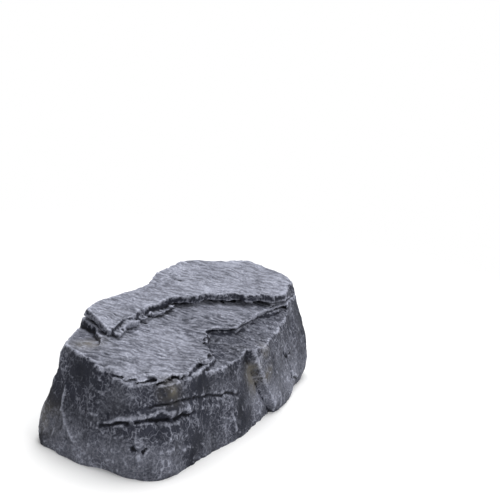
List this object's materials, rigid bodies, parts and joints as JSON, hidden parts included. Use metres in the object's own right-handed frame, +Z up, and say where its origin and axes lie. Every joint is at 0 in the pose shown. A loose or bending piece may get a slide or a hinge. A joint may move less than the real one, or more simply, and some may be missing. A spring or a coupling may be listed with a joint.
{
  "type": "key hiding rock",
  "caption": "Hollow imitation garden stone with split ledges on top and a flat base; a lid slides out of undercut grooves in the base to open a key compartment.",
  "frame": {"origin": "middle of the stone's bounding box, on the surface it rests on", "axes": "+Z up; +X along the stone's length, the way the lid slides out; -Y towards the straighter front"},
  "size_m": [0.1498, 0.0761, 0.048],
  "materials": {
    "painted_stone": "cast stone resin, dark slate coat dry-brushed pale blue-grey",
    "sanded_resin": "raw dark cast resin, outer face sanded to a warm grey"
  },
  "bodies": {
    "rock": {"rock_body": "painted_stone"},
    "lid": {"sliding_lid": "sanded_resin"}
  },
  "joints": [
    {"name": "lid_slide", "type": "slide", "parent": "rock", "child": "lid", "axis": [1, 0, 0], "range_m": [0, 0.14]}
  ]
}
